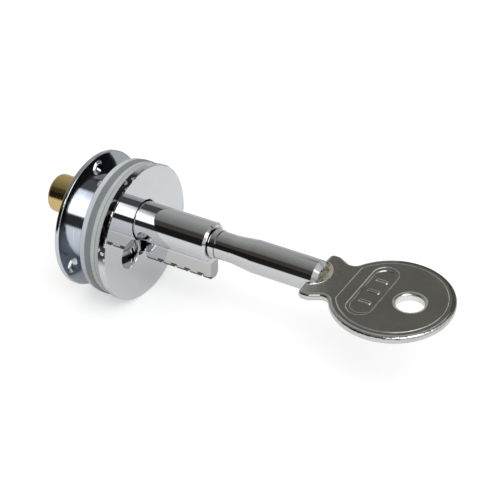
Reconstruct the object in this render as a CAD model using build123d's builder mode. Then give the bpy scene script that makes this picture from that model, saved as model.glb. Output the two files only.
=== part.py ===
"""Key-operated plunger lock for a sliding glass door.

The origin is the centre of the hub on the outer glass face. X runs to the right, Y from the key
side through the glass to the bolt side, Z up. The plunger runs along Y, above the hub's centre.
All sizes are in millimetres.
"""

import os
from math import cos, radians, sin, sqrt

from build123d import *

os.makedirs("parts", exist_ok=True)

# Clamp stack, from the glass outwards
clamp_gap = 6.4
glass_washer_thickness = 1.4
backing_ring_thickness = 1.8
disc_washer_thickness = 2.4
disc_thickness = 2.0
flange_thickness = 1.2
disc_radius = 18.0
ring_inset = 0.15
washer_inset = 0.4
hub_radius = 11.8
hub_play = 0.15
clamp_play = 0.3
disc_edge_round = 0.45
flange_edge_round = 0.3
ring_edge_chamfer = 0.2

# Screws and screw holes of the clamp stack
sink_angle = 90.0
disc_screw_spread = 6.8
disc_screw_drop = 2.8
disc_screw_radius = 2.0
disc_screw_head_radius = 3.7
disc_screw_length = 10.0
disc_screw_inset = 0.1
disc_screw_dome = 0.95
screw_play = 0.15
thread_clearance = 0.02
thread_runout = 0.8
cross_length = 4.0
cross_width = 0.8
cross_depth = 1.2
flange_hole_radius = 1.15
flange_hole_sink_radius = 1.95
flange_hole_count = 3
flange_hole_start = 90.0

# Plunger: cylinder body in front, bolt behind
axis_height = 3.75
plunger_radius = 5.1
slide_clearance = 0.06
cylinder_reach = 20.8
bolt_reach = 12.2
bolt_nose_round = 0.9
bolt_relief_length = 1.5
bolt_relief_depth = 0.3
lobe_depth = 10.7
lobe_width = 4.25
lobe_standoff = 1.5
body_edge_chamfer = 0.55
disc_hole_clearance = 0.3
disc_slot_width = 4.3
disc_slot_depth = 8.65
disc_hole_chamfer = 0.2
tail_width = 1.8
tail_clearance = 0.08
tail_slot_gap = 0.4
foot_catch = 1.6
foot_length = 1.5
foot_seat = 0.15
bush_wall = 1.0
bush_fit = 0.02
bush_inset = 0.2

# Plug and pins
plug_radius = 3.8
plug_clearance = 0.04
plug_standout = 1.9
front_relief_width = 0.42
front_relief_depth = 0.6
pin_count = 4
pin_pitch = 4.0
first_pin_inset = 2.9
pin_radius = 0.8
pin_clearance = 0.04
pin_tip_chamfer = 0.35
pin_track_gap = 0.08
driver_length = 2.7
spring_wire_radius = 0.1
spring_turns = 3
chamber_plug_length = 0.9
notch_width = 1.2
notch_depth = 1.6
last_pin_cover = 3.6
key_tip_room = 0.4
plug_back_wall = 3.2
clip_setback = 1.2
clip_thickness = 0.5
clip_overlap = 0.32
clip_bite = 0.55
clip_opening = 1.2
clip_clearance = 0.08
tail_rod_radius = 1.6
tail_square = 1.6

# Latch: a scroll on the plug's tail pushes a slug sideways through the plunger's wall
cam_side_clearance = 0.3
cam_thickness = 1.5
cam_gap = 0.25
cam_bore_clearance = 0.03
scroll_start = 1.6
scroll_rise = 1.15
scroll_turn = 90.0
scroll_depth = 1.0
scroll_pin_radius = 0.4
scroll_clearance = 0.05
scroll_points = 13
slug_radius = 1.1
slug_clearance = 0.05
slug_foot = 0.85
slug_top_inset = 0.12
latch_standout = 0.65
pocket_clearance = 0.2
spigot_wall = 0.25
spigot_clearance = 0.02
bolt_pin_radius = 0.75
bolt_pin_offset = 3.2
bolt_pin_inset = 0.15

# Key
key_turn_at_rest = 4.0
blade_width = 6.0
blade_height = 1.8
keyway_clearance = 0.04
track_depth = 0.45
track_clearance = 0.2
blade_tip_chamfer = 0.6
blade_socket_length = 4.5
key_fit = 0.02
shank_gap = 0.1
shank_radius = 4.2
shank_neck_radius = 3.55
shank_neck_length = 4.25
shank_flare_length = 5.8
shank_length = 28.55
shank_end_chamfer = 1.15
shank_fork_length = 2.3
tang_width = 5.0
tang_length = 4.3
socket_radius = 5.4
socket_offset = 3.45
socket_depth = 0.35
bow_radius = 14.95
bow_plate_thickness = 2.1
bow_edge_round = 0.8
ear_width = 17.3
ear_length = 2.7
ear_front_round = 1.3
ear_back_round = 2.1
neck_width = 14.0
neck_side = 1.79
neck_length = 3.4
neck_root_round = 2.1
neck_corner_round = 1.2
corner_reach = 0.1
field_step = 0.12
field_edge_round = 0.1
field_margin = 1.85
field_setback = 3.55
field_corner_round = 2.6
cartouche_length = 19.8
cartouche_width = 6.4
cartouche_offset = 5.05
cartouche_step = 0.12
floor_length = 17.7
floor_width = 5.3
floor_offset = 4.85
floor_depth = 0.3
pip_count = 3
pip_pitch = 4.4
pip_length = 3.0
pip_width = 0.9
pip_height = 0.2
pip_turn = 90.0
bow_hole_radius = 3.25
bow_hole_offset = 4.6
bow_hole_round = 0.8

# Places along the lock that follow from the sizes above
flange_front = clamp_gap
flange_back = flange_front + flange_thickness
ring_back = -glass_washer_thickness
washer_back = ring_back - backing_ring_thickness
disc_back = washer_back - disc_washer_thickness
disc_face = disc_back - disc_thickness
hub_front = disc_back + clamp_play
lobe_rear = disc_face - lobe_standoff
body_front = disc_face - cylinder_reach
body_rear = flange_front
bolt_end = flange_back + bolt_reach
foot_front = body_rear - foot_length
groove_rear = body_rear + foot_seat
travel = foot_front - disc_back - foot_seat
latch_depth = disc_face + travel - slug_radius - latch_standout
spigot_front = latch_depth - slug_radius - spigot_wall
cam_rear = spigot_front - cam_gap
cam_front = cam_rear - cam_thickness
bolt_pin_depth = latch_depth + bolt_pin_offset
plug_front = body_front - plug_standout
pin_places = [body_front + first_pin_inset + n * pin_pitch for n in range(pin_count)]
key_tip = pin_places[-1] + last_pin_cover
keyway_end = key_tip + key_tip_room
plug_rear = keyway_end + plug_back_wall
clip_middle = plug_rear - clip_setback
shank_start = plug_front - shank_gap
shank_end = shank_start - shank_length
neck_root = sqrt(bow_radius**2 - (neck_width / 2) ** 2)
neck_offset = neck_root + neck_side
bow_offset = neck_offset + neck_length
field_flat = bow_radius - field_setback
bow_centre = shank_end - bow_offset
ear_front = bow_offset + shank_fork_length
ear_back = ear_front - ear_length

# Sizes across the lock that follow from the sizes above
flange_hole_circle = (hub_radius + disc_radius) / 2
backing_ring_radius = disc_radius - ring_inset
washer_radius = disc_radius - washer_inset
disc_hole_radius = plunger_radius + disc_hole_clearance
bush_radius = plunger_radius + slide_clearance + bush_wall
tail_depth = disc_slot_depth - tail_slot_gap
foot_depth = disc_slot_depth + foot_catch
groove_width = tail_width + 2 * tail_clearance
body_bore_radius = plug_radius + plug_clearance
front_relief_radius = plug_radius + front_relief_width
cam_radius = body_bore_radius - cam_side_clearance
chamber_radius = pin_radius + pin_clearance
lobe_round = lobe_width / 2
lobe_flat = lobe_depth - lobe_round
keyway_width = blade_width + 2 * keyway_clearance
keyway_height = blade_height + 2 * keyway_clearance
track_width = 2 * (pin_radius + track_clearance)
pin_top = blade_height / 2 - track_depth + pin_track_gap
chamber_plug_bottom = lobe_depth - notch_depth
chamber_plug_top = chamber_plug_bottom - chamber_plug_length
driver_top = body_bore_radius
driver_bottom = driver_top + driver_length
bolt_pin_reach = plunger_radius - bolt_pin_inset
web_thickness = bow_plate_thickness - 2 * socket_depth
screw_cone = disc_screw_head_radius - disc_screw_radius

# Axes and places that several pieces share
plunger_line = Axis((0, 0, axis_height), (0, 1, 0))
disc_screws_at = [(-disc_screw_spread, -disc_screw_drop), (disc_screw_spread, -disc_screw_drop)]
pins_at = [(0, place) for place in pin_places]
key_side = Vector(cos(radians(key_turn_at_rest)), 0, sin(radians(key_turn_at_rest)))
key_up = Vector(-sin(radians(key_turn_at_rest)), 0, cos(radians(key_turn_at_rest)))
bow_normal = Axis(origin=(0, 0, 0), direction=key_up)


def across(depth, height=0.0):
    """Plane across the lock, seen from the key side: X right, Z up, extrusions go to the key."""
    return Plane(origin=(0, depth, height), x_dir=(1, 0, 0), z_dir=(0, -1, 0))


def across_key(depth):
    """The same plane on the plunger's line, turned as the key is at rest."""
    return Plane(origin=(0, depth, axis_height), x_dir=key_side, z_dir=(0, -1, 0))


def key_level(depth, rise=0.0):
    """Plane level with the key's bow: X across the key, Y along the lock."""
    return Plane(origin=Vector(0, depth, axis_height) + key_up * rise, x_dir=key_side, z_dir=key_up)


# Rear flange in one piece with the hub that passes through the pane
with BuildPart() as rear_flange:
    with BuildSketch(across(flange_back)):
        Circle(disc_radius)
    extrude(amount=flange_thickness)
    fillet(rear_flange.edges().filter_by(GeomType.CIRCLE), flange_edge_round)
    with BuildSketch(across(flange_back)):
        Circle(hub_radius)
    extrude(amount=flange_back - hub_front)
    with BuildSketch(across(flange_back, axis_height)):
        Circle(bush_radius)
    extrude(amount=flange_back - hub_front, mode=Mode.SUBTRACT)
    # groove for the plunger's tail and foot
    with BuildSketch(across(groove_rear, axis_height)):
        with Locations((0, -(foot_depth + tail_clearance) / 2)):
            Rectangle(groove_width, foot_depth + tail_clearance)
    extrude(amount=groove_rear - hub_front, mode=Mode.SUBTRACT)
    # threaded holes, the latch's hole and the countersunk flange holes
    with BuildSketch(across(disc_face + disc_screw_length + thread_runout)):
        with Locations(*disc_screws_at):
            Circle(disc_screw_radius + thread_clearance)
    extrude(amount=disc_screw_length + thread_runout, mode=Mode.SUBTRACT)
    with BuildSketch(Plane.YZ):
        with Locations((latch_depth, axis_height)):
            Circle(slug_radius + pocket_clearance)
    extrude(amount=hub_radius, mode=Mode.SUBTRACT)
    with Locations(across(flange_front)):
        with PolarLocations(flange_hole_circle, flange_hole_count, flange_hole_start):
            CounterSinkHole(
                flange_hole_radius,
                flange_hole_sink_radius,
                flange_thickness,
                counter_sink_angle=sink_angle,
            )
rear_flange.part.label = "rear_flange"
export_step(rear_flange.part, "parts/rear_flange.step")


# Bush that the plunger slides in, slit below for the plunger's tail
with BuildPart() as guide_bush:
    with BuildSketch(across(flange_back - bush_inset, axis_height)):
        Circle(bush_radius - bush_fit)
        Circle(plunger_radius + slide_clearance, mode=Mode.SUBTRACT)
        with Locations((0, -bush_radius / 2)):
            Rectangle(groove_width, bush_radius, mode=Mode.SUBTRACT)
    extrude(amount=flange_back - bush_inset - hub_front)
    with BuildSketch(Plane.YZ):
        with Locations((latch_depth, axis_height)):
            Circle(slug_radius + pocket_clearance)
    extrude(amount=bush_radius, mode=Mode.SUBTRACT)
guide_bush.part.label = "guide_bush"
export_step(guide_bush.part, "parts/guide_bush.step")


# Soft washer against the glass
with BuildPart() as glass_washer:
    with BuildSketch(across(0)):
        Circle(washer_radius)
        Circle(hub_radius + hub_play, mode=Mode.SUBTRACT)
    extrude(amount=glass_washer_thickness)
glass_washer.part.label = "glass_washer"
export_step(glass_washer.part, "parts/glass_washer.step")


# Metal ring between the two washers
with BuildPart() as backing_ring:
    with BuildSketch(across(ring_back)):
        Circle(backing_ring_radius)
    extrude(amount=backing_ring_thickness)
    chamfer(backing_ring.edges().filter_by(GeomType.CIRCLE), ring_edge_chamfer)
    with BuildSketch(across(ring_back)):
        Circle(hub_radius + hub_play)
    extrude(amount=backing_ring_thickness, mode=Mode.SUBTRACT)
backing_ring.part.label = "backing_ring"
export_step(backing_ring.part, "parts/backing_ring.step")


# Soft washer behind the front disc
with BuildPart() as disc_washer:
    with BuildSketch(across(washer_back)):
        Circle(washer_radius)
        Circle(hub_radius + hub_play, mode=Mode.SUBTRACT)
    extrude(amount=disc_washer_thickness)
disc_washer.part.label = "disc_washer"
export_step(disc_washer.part, "parts/disc_washer.step")


# Polished front disc with the keyhole-shaped opening for the plunger and its tail
with BuildPart() as front_disc:
    with BuildSketch(across(disc_back)):
        Circle(disc_radius)
    extrude(amount=disc_thickness)
    fillet(front_disc.edges().filter_by(GeomType.CIRCLE), disc_edge_round)
    with BuildSketch(across(disc_back, axis_height)):
        Circle(disc_hole_radius)
        with Locations((0, -disc_slot_depth / 2)):
            Rectangle(disc_slot_width, disc_slot_depth)
    extrude(amount=disc_thickness, mode=Mode.SUBTRACT)
    polished_face = front_disc.faces().filter_by(Axis.Y).sort_by(Axis.Y)[0]
    chamfer(polished_face.inner_wires()[0].edges(), disc_hole_chamfer)
    with Locations(across(disc_face)):
        with Locations(*disc_screws_at):
            CounterSinkHole(
                disc_screw_radius + screw_play,
                disc_screw_head_radius + screw_play,
                disc_thickness,
                counter_sink_angle=sink_angle,
            )
front_disc.part.label = "front_disc"
export_step(front_disc.part, "parts/front_disc.step")


# Two raised countersunk screws with cross recesses, which clamp the disc to the hub
screw_top = disc_face + disc_screw_inset
screw_end = disc_face + disc_screw_length
with BuildPart() as disc_screws:
    with BuildSketch(across(screw_end)):
        with Locations(*disc_screws_at):
            Circle(disc_screw_radius)
    extrude(amount=screw_end - screw_top)
    with BuildSketch(across(screw_top)):
        with Locations(*disc_screws_at):
            Circle(disc_screw_head_radius)
    extrude(amount=-screw_cone, taper=sink_angle / 2)
    for right, up in disc_screws_at:
        with BuildSketch(Plane(origin=(right, 0, up))):
            with BuildLine():
                dome_top = (0, screw_top - disc_screw_dome)
                dome_rim = (disc_screw_head_radius, screw_top)
                TangentArc(dome_top, dome_rim, tangent=(1, 0))
                Polyline(dome_rim, (0, screw_top), dome_top)
            make_face()
        revolve(axis=Axis((right, 0, up), (0, 1, 0)))
    with BuildSketch(across(screw_top + cross_depth)):
        with Locations(*disc_screws_at):
            Rectangle(cross_length, cross_width)
            Rectangle(cross_width, cross_length)
    extrude(amount=cross_depth + disc_screw_dome, mode=Mode.SUBTRACT)
disc_screws.part.label = "disc_screws"
export_step(disc_screws.part, "parts/disc_screws.step")


# Cylinder body: tube with the pin lobe below, and the tail whose foot stops the travel
with BuildPart() as cylinder_body:
    with BuildSketch(across(lobe_rear, axis_height)):
        Circle(plunger_radius)
        with Locations((0, -lobe_flat / 2)):
            Rectangle(lobe_width, lobe_flat)
        with Locations((0, -lobe_flat)):
            Circle(lobe_round)
    extrude(amount=lobe_rear - body_front)
    end_face = cylinder_body.faces().sort_by(Axis.Y)[0]
    chamfer(end_face.edges(), body_edge_chamfer)
    with BuildSketch(across(body_rear, axis_height)):
        Circle(plunger_radius)
        with Locations((0, -tail_depth / 2)):
            Rectangle(tail_width, tail_depth)
    extrude(amount=body_rear - lobe_rear)
    with BuildSketch(across(body_rear, axis_height)):
        with Locations((0, -foot_depth / 2)):
            Rectangle(tail_width, foot_depth)
    extrude(amount=foot_length)
    # bore, front relief and the clip's groove
    with BuildSketch(across(body_rear, axis_height)):
        Circle(body_bore_radius)
    extrude(amount=body_rear - body_front, mode=Mode.SUBTRACT)
    with BuildSketch(across(body_front + front_relief_depth, axis_height)):
        Circle(front_relief_radius)
    extrude(amount=front_relief_depth, mode=Mode.SUBTRACT)
    with BuildSketch(across(clip_middle + clip_thickness / 2 + clip_clearance, axis_height)):
        Circle(plug_radius + clip_overlap + clip_clearance)
    extrude(amount=clip_thickness + 2 * clip_clearance, mode=Mode.SUBTRACT)
    # pin chambers and the notches across them
    with BuildSketch(Plane.XY.offset(axis_height - lobe_depth)):
        with Locations(*pins_at):
            Circle(chamber_radius)
    extrude(amount=lobe_depth, mode=Mode.SUBTRACT)
    with BuildSketch(Plane.XY.offset(axis_height - lobe_depth)):
        with Locations(*pins_at):
            Rectangle(lobe_width, notch_width)
    extrude(amount=notch_depth, mode=Mode.SUBTRACT)
    # latch hole at the side, and the cross hole of the bolt's pin
    with BuildSketch(Plane.YZ):
        with Locations((latch_depth, axis_height)):
            Circle(slug_radius + slug_clearance)
    extrude(amount=bush_radius, mode=Mode.SUBTRACT)
    with BuildSketch(Plane.YZ.offset(-bush_radius)):
        with Locations((bolt_pin_depth, axis_height)):
            Circle(bolt_pin_radius + key_fit)
    extrude(amount=2 * bush_radius, mode=Mode.SUBTRACT)
cylinder_body.part.label = "cylinder_body"
export_step(cylinder_body.part, "parts/cylinder_body.step")


# Bolt: round nose behind the flange, spigot inside the body's bore
with BuildPart() as bolt:
    with BuildSketch(across(bolt_end, axis_height)):
        Circle(plunger_radius)
    extrude(amount=bolt_end - body_rear)
    fillet(bolt.faces().sort_by(Axis.Y)[-1].edges(), bolt_nose_round)
    # relief groove close behind the flange
    with BuildSketch(across(flange_back + bolt_relief_length, axis_height)):
        Circle(plunger_radius)
        Circle(plunger_radius - bolt_relief_depth, mode=Mode.SUBTRACT)
    extrude(amount=bolt_relief_length, mode=Mode.SUBTRACT)
    with BuildSketch(across(body_rear, axis_height)):
        Circle(body_bore_radius - spigot_clearance)
    extrude(amount=body_rear - spigot_front)
    # room for the latch slug and its pin
    with BuildSketch(Plane.YZ.offset(slug_foot - cam_gap)):
        with Locations((latch_depth, axis_height)):
            Circle(slug_radius + slug_clearance)
    extrude(amount=plunger_radius, mode=Mode.SUBTRACT)
    with BuildSketch(across(latch_depth, axis_height)):
        with Locations((slug_foot + plunger_radius / 2, 0)):
            Rectangle(plunger_radius, 2 * scroll_pin_radius + pocket_clearance)
    extrude(amount=latch_depth - spigot_front, mode=Mode.SUBTRACT)
    with BuildSketch(Plane.YZ.offset(-bush_radius)):
        with Locations((bolt_pin_depth, axis_height)):
            Circle(bolt_pin_radius + key_fit)
    extrude(amount=2 * bush_radius, mode=Mode.SUBTRACT)
bolt.part.label = "bolt"
export_step(bolt.part, "parts/bolt.step")


# Cross pin that holds the bolt's spigot in the body
with BuildPart() as bolt_pin:
    with BuildSketch(Plane.YZ.offset(-bolt_pin_reach)):
        with Locations((bolt_pin_depth, axis_height)):
            Circle(bolt_pin_radius)
    extrude(amount=2 * bolt_pin_reach)
    chamfer(bolt_pin.edges().filter_by(GeomType.CIRCLE), bolt_pin_inset)
bolt_pin.part.label = "bolt_pin"
export_step(bolt_pin.part, "parts/bolt_pin.step")


# Driver pins below the shear line
with BuildPart() as driver_pins:
    with BuildSketch(Plane.XY.offset(axis_height - driver_bottom)):
        with Locations(*pins_at):
            Circle(pin_radius)
    extrude(amount=driver_length)
    chamfer(driver_pins.edges().filter_by(GeomType.CIRCLE), pin_tip_chamfer / 2)
driver_pins.part.label = "driver_pins"
export_step(driver_pins.part, "parts/driver_pins.step")


# Plugs that close the chambers at the floor of the notches
with BuildPart() as chamber_plugs:
    with BuildSketch(Plane.XY.offset(axis_height - chamber_plug_bottom)):
        with Locations(*pins_at):
            Circle(chamber_radius - key_fit)
    extrude(amount=chamber_plug_length)
chamber_plugs.part.label = "chamber_plugs"
export_step(chamber_plugs.part, "parts/chamber_plugs.step")


# Pin springs between the driver pins and the chamber plugs
coil_radius = pin_radius - spring_wire_radius
coil_height = chamber_plug_top - driver_bottom - 2 * spring_wire_radius
coil_foot = axis_height - chamber_plug_top + spring_wire_radius
with BuildPart() as pin_springs:
    for place in pin_places:
        with BuildLine(Plane(origin=(0, place, coil_foot))):
            coil = Helix(coil_height / spring_turns, coil_height, coil_radius)
        with BuildSketch(Plane(origin=coil @ 0, z_dir=coil % 0)):
            Circle(spring_wire_radius)
        sweep(path=coil, is_frenet=True)
pin_springs.part.label = "pin_springs"
export_step(pin_springs.part, "parts/pin_springs.step")


# Plug with its keyway, pin chambers, clip groove and square-ended tail
with BuildPart() as plug:
    with BuildSketch(across_key(plug_rear)):
        Circle(plug_radius)
    extrude(amount=plug_rear - plug_front)
    with BuildSketch(across_key(cam_front)):
        Circle(tail_rod_radius)
    extrude(amount=cam_front - plug_rear)
    with BuildSketch(across_key(cam_rear)):
        Rectangle(tail_square, tail_square)
    extrude(amount=cam_rear - cam_front)
    with BuildSketch(across_key(keyway_end)):
        Rectangle(keyway_width, keyway_height)
    extrude(amount=keyway_end - plug_front, mode=Mode.SUBTRACT)
    with BuildSketch(key_level(0, -plug_radius)):
        with Locations(*pins_at):
            Circle(chamber_radius)
    extrude(amount=plug_radius, mode=Mode.SUBTRACT)
    with BuildSketch(across_key(clip_middle + (clip_thickness + clip_clearance) / 2)):
        Circle(plug_radius + clip_overlap)
        Circle(plug_radius - clip_bite, mode=Mode.SUBTRACT)
    extrude(amount=clip_thickness + clip_clearance, mode=Mode.SUBTRACT)
plug.part.label = "plug"
export_step(plug.part, "parts/plug.step")


# Spring clip that keeps the plug in the body
with BuildPart() as snap_ring:
    with BuildSketch(across_key(clip_middle + clip_thickness / 2)):
        Circle(plug_radius + clip_overlap)
        Circle(plug_radius - clip_bite + clip_clearance / 2, mode=Mode.SUBTRACT)
        with Locations((0, -plug_radius)):
            Rectangle(clip_opening, plug_radius, mode=Mode.SUBTRACT)
    extrude(amount=clip_thickness)
snap_ring.part.label = "snap_ring"
export_step(snap_ring.part, "parts/snap_ring.step")


# Key pins in the plug, standing in the blade's track
with BuildPart() as key_pins:
    with BuildSketch(key_level(0, key_fit - plug_radius)):
        with Locations(*pins_at):
            Circle(pin_radius)
    extrude(amount=plug_radius - key_fit - pin_top)
    chamfer(key_pins.edges().filter_by(GeomType.CIRCLE), pin_tip_chamfer)
key_pins.part.label = "key_pins"
export_step(key_pins.part, "parts/key_pins.step")


def scroll_point(share, side):
    """Point on the groove's outer or inner wall, after a share of the scroll's turn."""
    angle = share * radians(scroll_turn)
    reach = scroll_start + share * scroll_rise
    growth = scroll_rise / radians(scroll_turn)
    slope = sqrt(reach**2 + growth**2)
    half = side * (scroll_pin_radius + scroll_clearance)
    out_x = (reach * cos(angle) + growth * sin(angle)) / slope
    out_z = (reach * sin(angle) - growth * cos(angle)) / slope
    return Vector(reach * cos(angle) + half * out_x, reach * sin(angle) + half * out_z)


def scroll_cap(share, way):
    """Middle of the groove's round end, beyond its last centre point."""
    half = (scroll_point(share, 1) - scroll_point(share, -1)) / 2
    middle = (scroll_point(share, 1) + scroll_point(share, -1)) / 2
    return middle + Vector(-half.Y, half.X) * way


# Latch cam on the plug's square, with the scroll groove in its rear face
shares = [n / (scroll_points - 1) for n in range(scroll_points)]
with BuildPart() as latch_cam:
    with BuildSketch(across(cam_rear, axis_height)):
        Circle(cam_radius)
    extrude(amount=cam_thickness)
    with BuildSketch(across_key(cam_rear)):
        Rectangle(tail_square + 2 * cam_bore_clearance, tail_square + 2 * cam_bore_clearance)
    extrude(amount=cam_thickness, mode=Mode.SUBTRACT)
    with BuildSketch(across(cam_rear, axis_height)):
        with BuildLine():
            Spline(*[scroll_point(share, 1) for share in shares])
            ThreePointArc(scroll_point(1, 1), scroll_cap(1, 1), scroll_point(1, -1))
            Spline(*[scroll_point(share, -1) for share in reversed(shares)])
            ThreePointArc(scroll_point(0, -1), scroll_cap(0, -1), scroll_point(0, 1))
        make_face()
    extrude(amount=scroll_depth, mode=Mode.SUBTRACT)
latch_cam.part.label = "latch_cam"
export_step(latch_cam.part, "parts/latch_cam.step")


# Latch slug with the pin that follows the scroll
with BuildPart() as latch_slug:
    with BuildSketch(Plane.YZ.offset(slug_foot)):
        with Locations((latch_depth, axis_height)):
            Circle(slug_radius)
    extrude(amount=plunger_radius - slug_top_inset - slug_foot)
    chamfer(latch_slug.faces().sort_by(Axis.X)[-1].edges(), pocket_clearance)
    with BuildSketch(across(latch_depth, axis_height)):
        with Locations((scroll_start, 0)):
            Circle(scroll_pin_radius)
    extrude(amount=latch_depth - cam_rear + scroll_depth - pocket_clearance)
latch_slug.part.label = "latch_slug"
export_step(latch_slug.part, "parts/latch_slug.step")


# Key blade with the track that lifts the pins
with BuildPart() as key_blade:
    with BuildSketch(across_key(key_tip)):
        Rectangle(blade_width, blade_height)
    extrude(amount=key_tip - shank_start + blade_socket_length)
    tip_corners = key_blade.faces().sort_by(Axis.Y)[-1].edges().filter_by(bow_normal)
    chamfer(tip_corners, blade_tip_chamfer)
    with BuildSketch(across_key(key_tip)):
        with Locations((0, -blade_height / 2)):
            Rectangle(track_width, 2 * track_depth)
    extrude(amount=key_tip - shank_start, mode=Mode.SUBTRACT)
key_blade.part.label = "key_blade"
export_step(key_blade.part, "parts/key_blade.step")


# Key shank: slim neck, flare, and a fork that grips the bow
flare_start = shank_start - shank_neck_length
flare_end = flare_start - shank_flare_length
fork_root = shank_end + shank_fork_length
with BuildPart() as key_shank:
    with BuildSketch(Plane.YZ):
        with BuildLine():
            Polyline(
                (shank_start, axis_height),
                (shank_start, axis_height + shank_neck_radius),
                (flare_start, axis_height + shank_neck_radius),
                (flare_end, axis_height + shank_radius),
                (shank_end + shank_end_chamfer, axis_height + shank_radius),
                (shank_end, axis_height + shank_radius - shank_end_chamfer),
                (shank_end, axis_height),
                close=True,
            )
        make_face()
    revolve(axis=plunger_line)
    with BuildSketch(across_key(shank_start)):
        Rectangle(blade_width + 2 * key_fit, blade_height + 2 * key_fit)
    extrude(amount=blade_socket_length + key_fit, mode=Mode.SUBTRACT)
    with BuildSketch(across_key(fork_root + key_fit)):
        Rectangle(4 * shank_radius, web_thickness + 2 * key_fit)
    extrude(amount=shank_fork_length + key_fit, mode=Mode.SUBTRACT)
    with BuildSketch(across_key(fork_root + tang_length + key_fit)):
        Rectangle(tang_width + 2 * key_fit, web_thickness + 2 * key_fit)
    extrude(amount=tang_length + key_fit, mode=Mode.SUBTRACT)
key_shank.part.label = "key_shank"
export_step(key_shank.part, "parts/key_shank.step")


# Key bow: round plate with ears, a socket for the shank, a cartouche and the ring hole
plate_half = bow_plate_thickness / 2
field_top = plate_half + field_step
with BuildPart() as key_bow:
    with BuildSketch(key_level(bow_centre)) as outline:
        Circle(bow_radius)
        with BuildLine():
            Polyline(
                (-ear_width / 2, ear_front),
                (ear_width / 2, ear_front),
                (ear_width / 2, ear_back),
                (neck_width / 2, neck_offset),
                (neck_width / 2, 0),
                (-neck_width / 2, 0),
                (-neck_width / 2, neck_offset),
                (-ear_width / 2, ear_back),
                close=True,
            )
        make_face()
        fillet(outline.vertices().group_by(Axis.Y)[-1], ear_front_round)
        side_corners = outline.vertices().filter_by_position(Axis.Y, field_flat, ear_back + corner_reach)
        fillet(side_corners.group_by(Axis.Y)[-1], ear_back_round)
        side_corners = outline.vertices().filter_by_position(Axis.Y, field_flat, neck_offset + corner_reach)
        fillet(side_corners.group_by(Axis.Y)[-1], neck_corner_round)
        side_corners = outline.vertices().filter_by_position(Axis.Y, field_flat, neck_offset + corner_reach)
        fillet(side_corners.group_by(Axis.Y)[0], neck_root_round)
    extrude(amount=plate_half, both=True)
    rims = key_bow.edges().group_by(bow_normal)
    fillet(rims[0] + rims[-1], bow_edge_round)
    # tang in the fork, and the round socket on both faces
    with BuildSketch(key_level(bow_centre)):
        with Locations((0, ear_front)):
            Rectangle(tang_width, 2 * tang_length)
    extrude(amount=web_thickness / 2, both=True)
    for side in (1, -1):
        with BuildSketch(key_level(bow_centre, side * web_thickness / 2)):
            with Locations((0, bow_offset + socket_offset)):
                Circle(socket_radius)
        extrude(amount=side * bow_plate_thickness, mode=Mode.SUBTRACT)
        # raised field, cut flat towards the shank
        with BuildSketch(key_level(bow_centre, side * plate_half)) as field:
            Circle(bow_radius - field_margin)
            with Locations((0, field_flat + bow_radius)):
                Rectangle(2 * bow_radius, 2 * bow_radius, mode=Mode.SUBTRACT)
            fillet(field.vertices(), field_corner_round)
        extrude(amount=side * field_step)
        field_rims = key_bow.edges().group_by(bow_normal)
        fillet(field_rims[-1] if side > 0 else field_rims[0], field_edge_round)
        # cartouche: a low step, then a sunken floor with three plain bars
        with BuildSketch(key_level(bow_centre, side * field_top)):
            with Locations((0, cartouche_offset)):
                SlotOverall(cartouche_length, cartouche_width)
        extrude(amount=-side * cartouche_step, mode=Mode.SUBTRACT)
        with BuildSketch(key_level(bow_centre, side * field_top)):
            with Locations((0, floor_offset)):
                SlotOverall(floor_length, floor_width)
        extrude(amount=-side * floor_depth, mode=Mode.SUBTRACT)
        with BuildSketch(key_level(bow_centre, side * (field_top - floor_depth))):
            with Locations((0, floor_offset)):
                with GridLocations(pip_pitch, 0, pip_count, 1):
                    SlotOverall(pip_length, pip_width, rotation=pip_turn)
        extrude(amount=side * pip_height)
    # ring hole with rounded rims
    with BuildSketch(key_level(bow_centre)):
        with Locations((0, -bow_hole_offset)):
            Circle(bow_hole_radius)
    extrude(amount=bow_plate_thickness, both=True, mode=Mode.SUBTRACT)
    circles = key_bow.edges().filter_by(GeomType.CIRCLE)
    hole_rims = circles.filter_by(lambda edge: abs(edge.radius - bow_hole_radius) < key_fit)
    fillet(hole_rims, bow_hole_round)
key_bow.part.label = "key_bow"
export_step(key_bow.part, "parts/key_bow.step")
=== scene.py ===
from math import cos, radians, sin

import bpy
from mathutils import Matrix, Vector


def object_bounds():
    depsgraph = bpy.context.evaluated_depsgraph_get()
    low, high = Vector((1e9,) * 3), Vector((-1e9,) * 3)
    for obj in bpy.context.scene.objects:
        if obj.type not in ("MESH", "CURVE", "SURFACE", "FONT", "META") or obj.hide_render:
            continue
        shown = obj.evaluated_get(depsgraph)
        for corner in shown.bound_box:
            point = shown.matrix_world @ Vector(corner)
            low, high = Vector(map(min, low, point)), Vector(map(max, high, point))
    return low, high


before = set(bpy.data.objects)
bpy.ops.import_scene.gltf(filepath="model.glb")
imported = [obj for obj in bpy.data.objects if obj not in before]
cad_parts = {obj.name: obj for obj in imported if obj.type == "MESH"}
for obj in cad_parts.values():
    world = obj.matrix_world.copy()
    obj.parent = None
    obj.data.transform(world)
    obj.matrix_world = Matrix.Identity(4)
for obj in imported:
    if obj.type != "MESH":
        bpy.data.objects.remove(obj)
cad_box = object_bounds()


# Camera
# It looks at the lock from the front left and from above, as the photograph does. The distance is
# the one at which the front disc, the cylinder's end and the bow have their photographed sizes.

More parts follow.
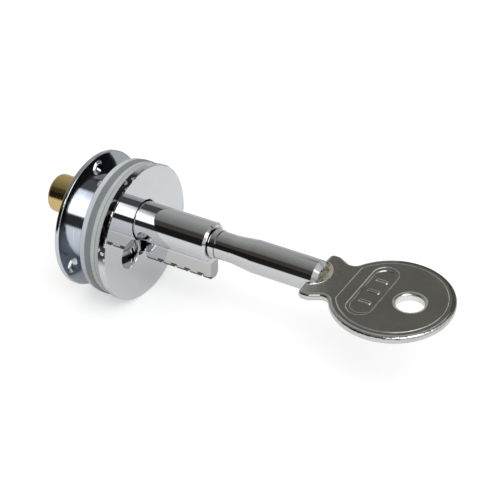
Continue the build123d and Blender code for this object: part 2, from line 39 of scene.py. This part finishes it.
# Lengths are in metres, apart from those of the pieces, which are written in millimetres
millimetre = 0.001
view_azimuth = radians(-58.80)
view_elevation = radians(32.42)
camera_place = Vector((-258.6, -195.3, 197.0)) * millimetre
camera_lens = 105.9
sensor_width = 36.0
camera_near = 0.01
camera_far = 10.0
view_back = Vector((
    sin(view_azimuth) * cos(view_elevation),
    -cos(view_azimuth) * cos(view_elevation),
    sin(view_elevation),
))
camera_data = bpy.data.cameras.new("camera")
camera_data.lens = camera_lens
camera_data.sensor_width = sensor_width
camera_data.clip_start = camera_near
camera_data.clip_end = camera_far
camera = bpy.data.objects.new("camera", camera_data)
camera.location = camera_place
camera.rotation_mode = "QUATERNION"
camera.rotation_quaternion = (-view_back).to_track_quat("-Z", "Y")
bpy.context.scene.collection.objects.link(camera)
bpy.context.scene.camera = camera
bpy.context.scene.view_settings.view_transform = "Standard"


# Table
# A white table, which the camera sees as white all over. The polished metal sees it fade into the
# dark beyond its edge. Its material is the first tree of nodes, so the tree's tools stand here.
class Socket:
    """A node's output, on which arithmetic from either side adds the matching Math node."""

    def __init__(self, tree, output):
        self.tree = tree
        self.output = output

    def math(self, operation, other=None):
        values = {0: self} if other is None else {0: self, 1: other}
        return self.tree.node("ShaderNodeMath", {"operation": operation}, values)

    def __add__(self, other):
        return self.math("ADD", other)

    def __mul__(self, other):
        return self.math("MULTIPLY", other)

    def __sub__(self, other):
        return self.math("SUBTRACT", other)

    def __rsub__(self, other):
        return self.tree.node("ShaderNodeMath", {"operation": "SUBTRACT"}, {0: other, 1: self})

    __radd__ = __add__
    __rmul__ = __mul__


class Tree:
    """The node tree of one material or of the world."""

    def __init__(self, owner):
        owner.use_nodes = True
        self.nodes = owner.node_tree.nodes
        self.links = owner.node_tree.links
        self.nodes.clear()

    def node(self, kind, settings=None, values=None, output=0):
        made = self.nodes.new(kind)
        for name, value in (settings or {}).items():
            setattr(made, name, value)
        for name, value in (values or {}).items():
            if isinstance(value, Socket):
                self.links.new(value.output, made.inputs[name])
            else:
                made.inputs[name].default_value = value
        return Socket(self, made.outputs[output])

    def ray(self, kind):
        """One where the light path is of this kind."""
        return self.node("ShaderNodeLightPath", output=kind)

    def coordinates(self):
        return self.node("ShaderNodeTexCoord", output="Object")

    def axis(self, place, letter):
        return self.node("ShaderNodeSeparateXYZ", None, {"Vector": place}, letter)

    def length(self, place):
        return self.node("ShaderNodeVectorMath", {"operation": "LENGTH"}, {0: place}, "Value")

    def stretched(self, place, scale):
        return self.node("ShaderNodeMapping", None, {"Vector": place, "Scale": scale})

    def mixed(self, factor, first, second):
        """Colour that goes from first to second with the factor."""
        values = {"Factor": factor, 6: first, 7: second}
        return self.node("ShaderNodeMix", {"data_type": "RGBA"}, values, 2)

    def ranged(self, value, low, high, to_low=0.0, to_high=1.0):
        """Value carried smoothly from one range to another."""
        values = {"Value": value, "From Min": low, "From Max": high, "To Min": to_low, "To Max": to_high}
        return self.node("ShaderNodeMapRange", {"interpolation_type": "SMOOTHSTEP"}, values)

    def near(self, value, middle, outer, inner):
        """One where the value is within inner of the middle, nothing beyond outer."""
        return self.ranged((value - middle).math("ABSOLUTE"), outer, inner)

    def noise(self, place, scale, detail, roughness=0.5):
        values = {"Vector": place, "Scale": scale, "Detail": detail, "Roughness": roughness}
        return self.node("ShaderNodeTexNoise", None, values)

    def bump(self, height, distance, strength):
        values = {"Strength": strength, "Distance": distance, "Height": height}
        return self.node("ShaderNodeBump", None, values)

    def glow(self, colour, strength=1.0):
        return self.node("ShaderNodeEmission", None, {"Color": colour, "Strength": strength})

    def finish(self, shader, kind="ShaderNodeOutputMaterial"):
        out = self.nodes.new(kind)
        self.links.new(shader.output, out.inputs["Surface"])


def box_mesh(name, low, high, faces):
    """Some of the six faces of a box between two corners, each face named by its corners' numbers."""
    mesh = bpy.data.meshes.new(name)
    points = [(x, y, z) for x in (low.x, high.x) for y in (low.y, high.y) for z in (low.z, high.z)]
    mesh.from_pydata(points, [], faces)
    made = bpy.data.objects.new(name, mesh)
    bpy.context.scene.collection.objects.link(made)
    return made


floor_height = cad_box[0].z
floor_half = 1.5
floor_face = (0, 4, 6, 2)
table_shade = (0.66, 0.66, 0.66, 1.0)
table_lift = 0.45
mirrored_lift = 0.12
table_reach = 0.10
table_end = 0.34
beyond_table = (0.05, 0.05, 0.05, 1.0)
white = (1.0, 1.0, 1.0, 1.0)

floor_low = Vector((-floor_half, -floor_half, floor_height))
floor_high = Vector((floor_half, floor_half, floor_height))
floor = box_mesh("floor", floor_low, floor_high, [floor_face])
floor_material = bpy.data.materials.new("white_table")
tree = Tree(floor_material)
mirrored = tree.ray("Is Glossy Ray")
seen = tree.ray("Is Camera Ray") + tree.ray("Is Transmission Ray")
table = tree.node("ShaderNodeBsdfDiffuse", None, {"Color": table_shade})
lift = tree.glow(white, seen * table_lift + mirrored * mirrored_lift)
lit = tree.node("ShaderNodeAddShader", None, {0: table, 1: lift})
gone = tree.ranged(tree.length(tree.coordinates()), table_reach, table_end) * mirrored
tree.finish(tree.node("ShaderNodeMixShader", None, {0: gone, 1: lit, 2: tree.glow(beyond_table)}))
floor.data.materials.append(floor_material)


# Studio
# A pale sky gives the even light, with one soft lamp for the shadow. Round the lock stands a room
# that only the polished metal sees: grey walls, a dark gap on the left, a soft box at the front.
sky = 0.85
room_low = Vector((-0.40, -0.43, floor_height))
room_high = Vector((0.40, 0.37, 0.40))
room_faces = [(0, 1, 3, 2), (4, 6, 7, 5), (0, 4, 5, 1), (2, 3, 7, 6), (1, 5, 7, 3)]
grey_left = (0.17, 0.17, 0.16, 1.0)
grey_right = (0.42, 0.42, 0.42, 1.0)
grey_across = (-0.30, 0.40)
lamp_size = 0.5
lamp_power = 1.6
lamp_place = Vector((-0.30, -0.35, 0.55))
lamp_aim = Vector((0.0, -0.03, 0.0))
far = 1.0

# Each patch of the walls: its colour, how soft its edge is, and its limits, far being past them all
wall_patches = {
    "pale_right_foot": ((0.62, 0.62, 0.61), 0.05, {"X": (0.38, far), "Z": (-far, 0.11)}),
    "brown_left_back": ((0.060, 0.054, 0.044), 0.05, {"X": (-far, -0.25), "Y": (0.130, far)}),
    "black_left_gap": ((0.004, 0.004, 0.005), 0.02, {"X": (-far, -0.39), "Z": (-far, 0.25)}),
    "dull_right_top": ((0.135, 0.13, 0.115), 0.01, {"X": (0.33, far), "Y": (-far, 0.182), "Z": (0.33, far)}),
    "pale_front": ((0.85, 0.85, 0.85), 0.05, {"Y": (-far, -0.42), "Z": (0.0, 0.30)}),
    "dark_ceiling": ((0.04, 0.04, 0.04), 0.02, {"X": (-0.16, 0.40), "Y": (-far, -0.20), "Z": (0.39, far)}),
    "soft_box": ((2.0, 2.05, 2.1), 0.035, {"X": (-far, 0.01), "Y": (-far, -0.243), "Z": (0.19, far)}),
    "soft_box_side": ((2.0, 2.05, 2.1), 0.03, {"X": (-far, -0.39), "Y": (-far, -0.195), "Z": (0.20, far)}),
}

world = bpy.data.worlds.new("studio")
bpy.context.scene.world = world
tree = Tree(world)
seen = tree.ray("Is Camera Ray") + tree.ray("Is Transmission Ray")
level = tree.ranged(seen, 0.0, 1.0, sky, 1.0)
back = tree.node("ShaderNodeBackground", None, {"Color": white, "Strength": level})
tree.finish(back, "ShaderNodeOutputWorld")

room = box_mesh("room", room_low, room_high, room_faces)
room.visible_camera = False
room.visible_diffuse = False
room.visible_transmission = False
room.visible_shadow = False
room_material = bpy.data.materials.new("studio_walls")
tree = Tree(room_material)
place = tree.coordinates()
in_room = {letter: tree.axis(place, letter) for letter in "XYZ"}
shade = tree.mixed(tree.ranged(in_room["X"], *grey_across), grey_left, grey_right)
for colour, edge, limits in wall_patches.values():
    mask = None
    for letter, (low, high) in limits.items():
        start = tree.ranged(in_room[letter], low - edge, low + edge)
        side = start * tree.ranged(in_room[letter], high + edge, high - edge)
        mask = side if mask is None else mask * side
    shade = tree.mixed(mask, shade, (*colour, 1.0))
tree.finish(tree.glow(shade))
room.data.materials.append(room_material)

key_light = bpy.data.lights.new("key_light", "AREA")
key_light.size = lamp_size
key_light.energy = lamp_power
key_lamp = bpy.data.objects.new("key_light", key_light)
key_lamp.location = lamp_place
key_lamp.rotation_mode = "QUATERNION"
key_lamp.rotation_quaternion = (lamp_place - lamp_aim).to_track_quat("Z", "Y")
key_lamp.visible_camera = False
key_lamp.visible_glossy = False
bpy.context.scene.collection.objects.link(key_lamp)


# Rear flange
# The flange and its hub are one brass casting, turned and chrome plated, with threads for the two
# disc screws in the hub. Its face carries a painted bluish reflection, and painted shade at the upper right.
flange_chrome = (0.70, 0.72, 0.75)
# Painted reflection: the lighter, bluish colour laid on the flange's face
flange_face_painted_reflection = (0.86, 0.92, 1.0)
# Painted shade: the darker colour laid on the face's upper right
flange_painted_shade = (0.40, 0.43, 0.47)
flange_roughness = 0.09
flange_depth = 0.03 * millimetre
flange_marks = 700.0

# For this metal and the others: clouds in the colour, marks of wiping or turning, and their relief
cloud_scale = 90.0
cloud_detail = 2.0
cloud_range = (0.3, 0.7)
metal_tones = (0.97, 1.03)
mark_detail = 4.0
mark_mix = 0.6
mark_range = (0.35, 0.75)
mark_height = 0.02
metal_gloss = (0.7, 1.5)
metal_relief = 0.3
polish_depth = 0.01 * millimetre
polish_marks = 2400.0
even_grain = (1.0, 1.0, 1.0)


def millimetres(*values):
    """The values in metres."""
    return tuple(value * millimetre for value in values)


def toned(colour, factor=1.0):
    """The colour made lighter or darker, kept below full white."""
    return tuple(min(1.0, factor * part) for part in colour) + (1.0,)


def clouded(tree, cloud, colour, tones):
    """The colour, a little darker or lighter with the clouds."""
    darker, lighter = tones
    return tree.mixed(tree.ranged(cloud, *cloud_range), toned(colour, darker), toned(colour, lighter))


def layered(tree, place, shade, layers):
    """The shade under layers, each a function that gives its mask, and its colour."""
    for mask, colour in layers:
        shade = tree.mixed(mask(tree, place), shade, toned(colour))
    return shade


def metal(name, colour, roughness, layers=(), grain=even_grain, depth=polish_depth, marks=polish_marks):
    """Metal with faint clouds in its colour, and wiping or turning marks that run across the grain."""
    made = bpy.data.materials.new(name)
    tree = Tree(made)
    place = tree.coordinates()
    cloud = tree.noise(place, cloud_scale, cloud_detail)
    scratch = tree.noise(tree.stretched(place, grain), marks, mark_detail, mark_mix)
    smoother, rougher = metal_gloss
    values = {
        "Base Color": layered(tree, place, clouded(tree, cloud, colour, metal_tones), layers),
        "Metallic": 1.0,
        "Roughness": tree.ranged(scratch, *mark_range, roughness * smoother, roughness * rougher),
        "Normal": tree.bump(cloud + scratch * mark_height, depth, metal_relief),
    }
    tree.finish(tree.node("ShaderNodeBsdfPrincipled", None, values))
    return made


def dress(node, material):
    """Gives the CAD node its material in each of its slots."""
    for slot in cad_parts[node].material_slots:
        slot.material = material


flange_face = 6.4 * millimetre
flange_face_edge = millimetres(0.1, 0.05)
flange_right = millimetres(-3.0, 1.0)
flange_up = millimetres(0.0, 4.0)


def on_flange_face(tree, place):
    """The flange's flat face, without its hub."""
    return tree.near(tree.axis(place, "Y"), flange_face, *flange_face_edge)


def on_flange_right(tree, place):
    """The upper right of the face, behind the washers, which carries painted shade."""
    right = tree.ranged(tree.axis(place, "X"), *flange_right)
    return on_flange_face(tree, place) * right * tree.ranged(tree.axis(place, "Z"), *flange_up)


flange_layers = [(on_flange_face, flange_face_painted_reflection), (on_flange_right, flange_painted_shade)]
flange_metal = metal(
    "flange_chrome", flange_chrome, flange_roughness, flange_layers, depth=flange_depth, marks=flange_marks
)
dress("rear_flange", flange_metal)


# Guide bush
# A black moulded bearing plastic, pressed into the hub from behind. The plunger slides in it, so
# its skin is dull and finely grained.
bush_black = (0.020, 0.020, 0.022)
bush_roughness = 0.40

# For this plastic and the other dull skins
dull_cloud_scale = 120.0
dull_tones = (0.92, 1.06)
dull_grain = 1800.0
dull_range = (0.3, 0.7)
dull_gloss = (0.8, 1.2)
dull_depth = 0.01 * millimetre
dull_relief = 0.2
plastic_index = 1.45


def dull(name, colour, roughness, layers=(), index=plastic_index):
    """Dull skin, as on moulded plastic, with a fine grain and faint clouds."""
    made = bpy.data.materials.new(name)
    tree = Tree(made)
    place = tree.coordinates()
    cloud = tree.noise(place, dull_cloud_scale, cloud_detail)
    grain = tree.noise(place, dull_grain, mark_detail, mark_mix)
    smoother, rougher = dull_gloss
    values = {
        "Base Color": layered(tree, place, clouded(tree, cloud, colour, dull_tones), layers),
        "Roughness": tree.ranged(grain, *dull_range, roughness * smoother, roughness * rougher),
        "Normal": tree.bump(grain, dull_depth, dull_relief),
        "IOR": index,
    }
    tree.finish(tree.node("ShaderNodeBsdfPrincipled", None, values))
    return made


dress("guide_bush", dull("bush_black", bush_black, bush_roughness))


# Glass washer
# A soft milky vinyl ring, cut from sheet, which lies against the pane. Its rim is pale and bluish;
# its face, close to the glass, carries painted shade, darkest above the hub.
washer_blue = (0.49, 0.525, 0.55)
washer_blue_roughness = 0.35
washer_blue_index = 1.1
# Painted shade: the face's dull blue-grey, going to near black above the hub
washer_face_painted_shade = (0.34, 0.38, 0.42)
washer_face_top_painted_shade = (0.006, 0.006, 0.007)
washer_face_depth = millimetres(-0.07, -0.02)
washer_face_up = millimetres(-12.0, 5.0)


def on_washer_face(tree, place):
    """The face that lies against the pane."""
    return tree.ranged(tree.axis(place, "Y"), *washer_face_depth)


def on_washer_face_top(tree, place):
    """The same face, where the painted shade grows darker towards the top."""
    return on_washer_face(tree, place) * tree.ranged(tree.axis(place, "Z"), *washer_face_up)


face_layers = [(on_washer_face, washer_face_painted_shade), (on_washer_face_top, washer_face_top_painted_shade)]
washer_skin = dull("washer_blue", washer_blue, washer_blue_roughness, face_layers, washer_blue_index)
dress("glass_washer", washer_skin)


# Backing ring
# A plain steel ring between the two soft ones, which spreads the screws' pull. The satin skin of
# its fine turning scatters light as a dull plastic does.
ring_grey = (0.19, 0.205, 0.216)
ring_roughness = 0.38
dress("backing_ring", dull("ring_satin", ring_grey, ring_roughness))


# Disc washer
# The thicker soft ring behind the front disc, moulded of milky vinyl. The half next to the ring has
# a trace of green; a thin darker line parts it from the bluer half next to the disc.
washer_green = (0.43, 0.465, 0.44)
washer_front_tone = (0.40, 0.425, 0.45)
washer_line_shade = (0.25, 0.265, 0.28)
washer_green_roughness = 0.30
washer_middle = -4.4 * millimetre
washer_half = millimetres(-4.32, -4.48)
washer_line = millimetres(0.16, 0.08)


def on_washer_front(tree, place):
    """The half of the rim next to the disc."""
    return tree.ranged(tree.axis(place, "Y"), *washer_half)


def on_washer_line(tree, place):
    """The thin darker line between the two halves."""
    return tree.near(tree.axis(place, "Y"), washer_middle, *washer_line)


washer_layers = [(on_washer_front, washer_front_tone), (on_washer_line, washer_line_shade)]
dress("disc_washer", dull("washer_green", washer_green, washer_green_roughness, washer_layers))


# Front disc
# A turned brass disc, polished to a mirror and chrome plated. It is the cover that shows on the
# room side of the pane, and two screws through it clamp the stack to the hub.
disc_chrome = (0.76, 0.78, 0.81)
disc_roughness = 0.03
# Painted reflection: near black laid on the rim's upper left, broken by specks
rim_painted_reflection = (0.05, 0.05, 0.055)
rim_out = millimetres(17.45, 17.65)
rim_left = millimetres(0.0, -3.0)
rim_up = millimetres(-1.0, 2.0)
speck_scale = 700.0
speck_detail = 3.0
speck_range = (0.62, 0.54)
flat_across = (1.0, 0.0, 1.0)


def on_rim_painted_reflection(tree, place):
    """The upper left of the turned rim, with a painted dark reflection broken by specks of plain chrome."""
    out = tree.ranged(tree.length(tree.stretched(place, flat_across)), *rim_out)
    left = tree.ranged(tree.axis(place, "X"), *rim_left)
    up = tree.ranged(tree.axis(place, "Z"), *rim_up)
    specks = tree.ranged(tree.noise(place, speck_scale, speck_detail), *speck_range)
    return out * (up * left) * specks


dress("front_disc", metal("disc_chrome", disc_chrome, disc_roughness, [(on_rim_painted_reflection, rim_painted_reflection)]))


# Disc screws
# Two raised countersunk screws of bright plated steel, with cross recesses pressed by the driver.
# They go through the disc into the hub. Their colour is darkened as a painted dark reflection,
# with a painted shadow of the tube as a dark band across their heads and painted glints by the cross.
# Painted reflection: the plate colour, kept darker than the disc's chrome
screw_plate_painted_dark = (0.40, 0.40, 0.42)
screw_painted_shadow = (0.012, 0.012, 0.013)
screw_painted_glint = (1.0, 1.0, 1.0)
screw_roughness = 0.08
screw_depth = 0.1 * millimetre
screw_marks = 600.0
in_millimetres = 1000.0
screw_side = 6.8
screw_height = -2.8
band_bottom = (-1.4, -0.9)
band_top = (1.4, 0.9)
arm_outer = (0.85, 0.75)
arm_inner = (0.40, 0.45)
arm_start = (0.85, 0.95)
arm_end = (2.1, 1.9)


def above_screws(tree, place):
    """Millimetres above the screws' middles."""
    return tree.axis(place, "Z") * in_millimetres - screw_height


def on_screw_painted_shadow(tree, place):
    """The painted shadow of the tube, a dark band across the raised head."""
    up = above_screws(tree, place)
    return tree.ranged(up, *band_bottom) * tree.ranged(up, *band_top)


def on_screw_painted_glints(tree, place):
    """The painted glints, bright lips beside the arms of the cross."""
    beside = (tree.axis(place, "X").math("ABSOLUTE") * in_millimetres - screw_side).math("ABSOLUTE")
    up = above_screws(tree, place).math("ABSOLUTE")
    lips = tree.ranged(beside, *arm_outer) * tree.ranged(up, *arm_start)
    return lips * tree.ranged(up, *arm_end) * tree.ranged(beside, *arm_inner)


screw_layers = [(on_screw_painted_shadow, screw_painted_shadow), (on_screw_painted_glints, screw_painted_glint)]
screw_metal = metal(
    "screw_plate_painted_dark", screw_plate_painted_dark, screw_roughness, screw_layers, depth=screw_depth, marks=screw_marks
)
dress("disc_screws", screw_metal)


# Cylinder body
# The plunger's front half: a drawn brass profile, tube and pin lobe in one, cut to length, drilled
# and chrome plated. Faint lines run along it from the drawing. The lobe's sawn end, its lower edge
# and its notches carry painted shade.
body_chrome = (0.75, 0.765, 0.785)
body_roughness = 0.035
drawn_grain = (1.0, 0.06, 1.0)
drawn_marks = 1500.0
lobe_shade = (0.66, 0.66, 0.65)
# Painted shade: the darker tone on the lobe's sawn end
lobe_front_painted_shade = (0.50, 0.50, 0.49)
# Painted shade: the near black line along the lobe's lower edge and in its notches
lobe_edge_painted_shade = (0.10, 0.10, 0.105)
lobe_top = millimetres(-1.4, -1.8)
lobe_front = millimetres(-28.34, -28.36)
lobe_behind = millimetres(-28.36, -28.34)
lobe_edge = millimetres(-5.45, -5.55)
notch_up = millimetres(-4.75, -4.85)
notch_along = millimetres(0.95, 0.85)
notch_places = millimetres(-25.5, -21.5, -17.5, -13.5)


def on_lobe(tree, place):
    """The lobe's flat sides, in a slightly darker tone than the tube."""
    return tree.ranged(tree.axis(place, "Z"), *lobe_top)


def on_lobe_front(tree, place):
    """The sawn end of the lobe, which carries painted shade."""
    return tree.ranged(tree.axis(place, "Y"), *lobe_front) * on_lobe(tree, place)


def on_lobe_edge_painted_shade(tree, place):
    """Painted shade along the lobe's lower edge and on the walls of its four notches."""
    along = tree.axis(place, "Y")
    up = tree.axis(place, "Z")
    mask = tree.ranged(up, *lobe_edge) * tree.ranged(along, *lobe_behind)
    for middle in notch_places:
        mask = mask + tree.near(along, middle, *notch_along) * tree.ranged(up, *notch_up)
    return mask.math("MINIMUM", 1.0)


body_layers = [
    (on_lobe, lobe_shade),
    (on_lobe_front, lobe_front_painted_shade),
    (on_lobe_edge_painted_shade, lobe_edge_painted_shade),
]
body_metal = metal(
    "body_chrome", body_chrome, body_roughness, body_layers, grain=drawn_grain, marks=drawn_marks
)
dress("cylinder_body", body_metal)


# Bolt
# A turned and polished brass rod with a rounded nose, bare of plate, behind the flange. Its spigot
# goes into the back of the body.
bolt_brass = (0.72, 0.55, 0.23)
bolt_roughness = 0.17
bolt_grain = (0.15, 6.0, 0.15)
bolt_depth = 0.02 * millimetre
turned_marks = 900.0
bolt_metal = metal(
    "bolt_brass", bolt_brass, bolt_roughness, grain=bolt_grain, depth=bolt_depth, marks=turned_marks
)
dress("bolt", bolt_metal)


# Bolt pin
# A hardened and ground steel pin, driven across the plunger. It holds the bolt's spigot in the
# body.
ground_steel = (0.50, 0.51, 0.53)
ground_roughness = 0.18
dress("bolt_pin", metal("ground_steel", ground_steel, ground_roughness))


# Pins
# Turned brass pins, bare of plate: four in the plug that stand on the key's blade, and four drivers
# in the lobe below them.
pin_brass = (0.76, 0.58, 0.28)
pin_roughness = 0.15
pin_grain = (1.0, 1.0, 6.0)
pin_metal = metal("pin_brass", pin_brass, pin_roughness, grain=pin_grain, marks=turned_marks)
for name in ("key_pins", "driver_pins"):
    dress(name, pin_metal)


# Pin springs
# Four small coils of drawn steel wire in the lobe's chambers. They press the drivers up towards
# the plug.
spring_wire = (0.60, 0.61, 0.63)
spring_roughness = 0.20
dress("pin_springs", metal("spring_wire", spring_wire, spring_roughness))


# Chamber plugs
# Brass discs staked into the four drilled chambers, at the floor of the notches below the lobe.
# They carry the springs' lower ends.
staked_brass = (0.52, 0.50, 0.44)
staked_roughness = 0.30
dress("chamber_plugs", metal("staked_brass", staked_brass, staked_roughness))


# Plug
# The part that the key turns: turned brass, nickel plated, with the keyway from end to end. Its
# collar stands out in front of the tube.
plug_nickel = (0.74, 0.73, 0.70)
plug_roughness = 0.06
dress("plug", metal("plug_nickel", plug_nickel, plug_roughness))


# Snap ring
# A spring steel clip with an opening below. It sits in the plug's groove and keeps the plug in the
# body.
clip_steel = (0.42, 0.43, 0.46)
clip_roughness = 0.25
dress("snap_ring", metal("clip_steel", clip_steel, clip_roughness))


# Latch cam and slug
# Hardened steel, tumbled: the cam on the plug's square tail pushes the slug out at the plunger's
# side.
latch_steel = (0.50, 0.51, 0.53)
latch_roughness = 0.22
latch_grain = (1.0, 4.0, 1.0)
latch_metal = metal("latch_steel", latch_steel, latch_roughness, grain=latch_grain, marks=turned_marks)
for name in ("latch_cam", "latch_slug"):
    dress(name, latch_metal)


# Key shank
# A turned brass bar, nickel plated and polished, with a slim neck in front and a fork that grips
# the bow.
shank_nickel = (0.70, 0.71, 0.72)
shank_roughness = 0.03
shank_metal = metal("shank_nickel", shank_nickel, shank_roughness, grain=drawn_grain, marks=drawn_marks)
dress("key_shank", shank_metal)


# Key blade
# A flat nickel silver strip, pressed into the shank. At rest it is hidden in the plug, and it shows
# when the key is drawn out.
blade_nickel = (0.68, 0.67, 0.64)
blade_roughness = 0.10
dress("key_blade", metal("blade_nickel", blade_nickel, blade_roughness, grain=drawn_grain))


# Key bow
# A die-cast plate, tumbled and nickel plated: softer in its edges than the turned parts, with a
# raised field, a sunken cartouche with three bars, and a hole for the key ring. Painted highlights
# lie on its stamped lines and the hole's wall, a painted warm highlight in the socket, and a
# painted dark reflection on the far shoulder.
bow_nickel = (0.70, 0.70, 0.68)
bow_painted_highlight = (1.0, 1.0, 0.98)
shoulder_painted_reflection = (0.16, 0.16, 0.15)
socket_painted_highlight = (0.86, 0.80, 0.62)
bow_tones = (0.95, 1.04)
bow_cloud_scale = 160.0
bow_gloss = (0.05, 0.12)
bow_relief = 0.8
line_strength = 0.8
line_relief = 0.05
line_roughness = 0.15
hole_wall_roughness = 0.4
pit_scale = 1500.0
pit_relief = 0.006
lump_scale = 500.0
lump_detail = 3.0
lump_relief = 0.30
socket_lumps = 2.0
wear_and_sheen_scale = 260.0
wear_and_sheen_range = (0.36, 0.60)
wear_and_sheen_least = 0.25

# The bow's own millimetres: across it, and along the key from the bow's middle
bow_turn = radians(4.0)
bow_height = 3.75
bow_centre = -77.35
line_half = 0.16
field_radius = 13.1
field_flat = 11.4
cartouche = (5.05, 19.8, 6.4)
cartouche_floor = (4.85, 17.7, 5.3)
cartouche_floor_strength = 0.35
bar_steps = (-1, 0, 1)
bar_pitch = 4.4
bar_place = 4.85
bar_half = 1.1
bar_radius = 0.42
hole_place = -4.6
hole_rim = 4.0
hole_wall_out = (3.5, 3.3)
socket_place = 21.85
socket_radius = 5.4
socket_line = 0.5
socket_out = (5.5, 5.3)
bow_rim_out = (14.0, 14.5)
bow_rim_along = (9.0, 7.0)
shoulder_inner = (13.8, 14.0)
shoulder_outer = (14.9, 14.75)
shoulder_along = (6.0, 4.0)
shoulder_across = (-3.0, 3.0)


def strongest(first, *others):
    """The greatest of some masks at each point."""
    for other in others:
        first = first.math("MAXIMUM", other)
    return first


def bow_masks(tree, place):
    """Masks of the stamped lines, the cast rim, the hole's wall, the shoulder's painted dark reflection and
    the socket.
    """
    scale = (in_millimetres, in_millimetres, in_millimetres)
    scaled = tree.node("ShaderNodeVectorMath", {"operation": "MULTIPLY"}, {0: place, 1: scale})
    above = tree.axis(scaled, "Z") - bow_height
    across = tree.axis(scaled, "X") * cos(bow_turn) + above * sin(bow_turn)
    along = tree.axis(scaled, "Y") - bow_centre

    def apart(right, back):
        return tree.length(tree.node("ShaderNodeCombineXYZ", None, {"X": right, "Y": back}))

    def drawn(distance):
        return tree.ranged(distance.math("ABSOLUTE"), line_half, 0.0)

    def slot(offset, length, width):
        past = (across.math("ABSOLUTE") - (length - width) / 2).math("MAXIMUM", 0.0)
        return apart(past, along - offset) - width / 2

    out = apart(across, along)
    from_hole = apart(across, along - hole_place)
    from_socket = apart(across, along - socket_place)
    past_bar = ((along - bar_place).math("ABSOLUTE") - bar_half).math("MAXIMUM", 0.0)
    lines = strongest(
        drawn((out - field_radius).math("MAXIMUM", along - field_flat)),
        drawn(slot(*cartouche)),
        drawn(slot(*cartouche_floor)) * cartouche_floor_strength,
        drawn(from_hole - hole_rim),
        drawn((from_socket - socket_radius) * socket_line),
        *[drawn(apart(across - step * bar_pitch, past_bar) - bar_radius) for step in bar_steps],
    )
    # Patchy wear that breaks up both the lines' relief and their painted highlight
    wear_and_sheen = tree.noise(place, wear_and_sheen_scale, cloud_detail)
    lines = lines * tree.ranged(wear_and_sheen, *wear_and_sheen_range, wear_and_sheen_least, 1.0)
    rim = tree.ranged(out, *bow_rim_out) * tree.ranged(along, *bow_rim_along)
    hole_wall = tree.ranged(from_hole, *hole_wall_out)
    shoulder = tree.ranged(out, *shoulder_inner) * tree.ranged(out, *shoulder_outer)
    shoulder = shoulder * tree.ranged(along, *shoulder_along) * tree.ranged(across, *shoulder_across)
    socket = tree.ranged(from_socket, *socket_out)
    return lines, rim, hole_wall, shoulder, socket


bow_metal = bpy.data.materials.new("bow_nickel")
tree = Tree(bow_metal)
place = tree.coordinates()
lines, rim, hole_wall, shoulder, socket = bow_masks(tree, place)
cloud = tree.noise(place, bow_cloud_scale, cloud_detail)
pits = tree.noise(place, pit_scale, mark_detail, mark_mix)
lumps = tree.noise(place, lump_scale, lump_detail, mark_mix)
shade = clouded(tree, cloud, bow_nickel, bow_tones)
# Painted dark reflection on the far shoulder
shade = tree.mixed(shoulder, shade, toned(shoulder_painted_reflection))
# Painted warm highlight in the socket
shade = tree.mixed(socket, shade, toned(socket_painted_highlight))
# Painted highlights on the stamped lines and on the hole's wall
shade = tree.mixed(strongest(lines * line_strength, hole_wall), shade, toned(bow_painted_highlight))
gloss = tree.ranged(pits, *mark_range, *bow_gloss)
height = lines * line_relief + lumps * (rim + socket * socket_lumps) * lump_relief + pits * pit_relief
values = {
    "Base Color": shade,
    "Metallic": 1.0,
    "Roughness": gloss + lines * line_roughness + hole_wall * hole_wall_roughness,
    "Normal": tree.bump(height, millimetre, bow_relief),
}
tree.finish(tree.node("ShaderNodeBsdfPrincipled", None, values))
dress("key_bow", bow_metal)
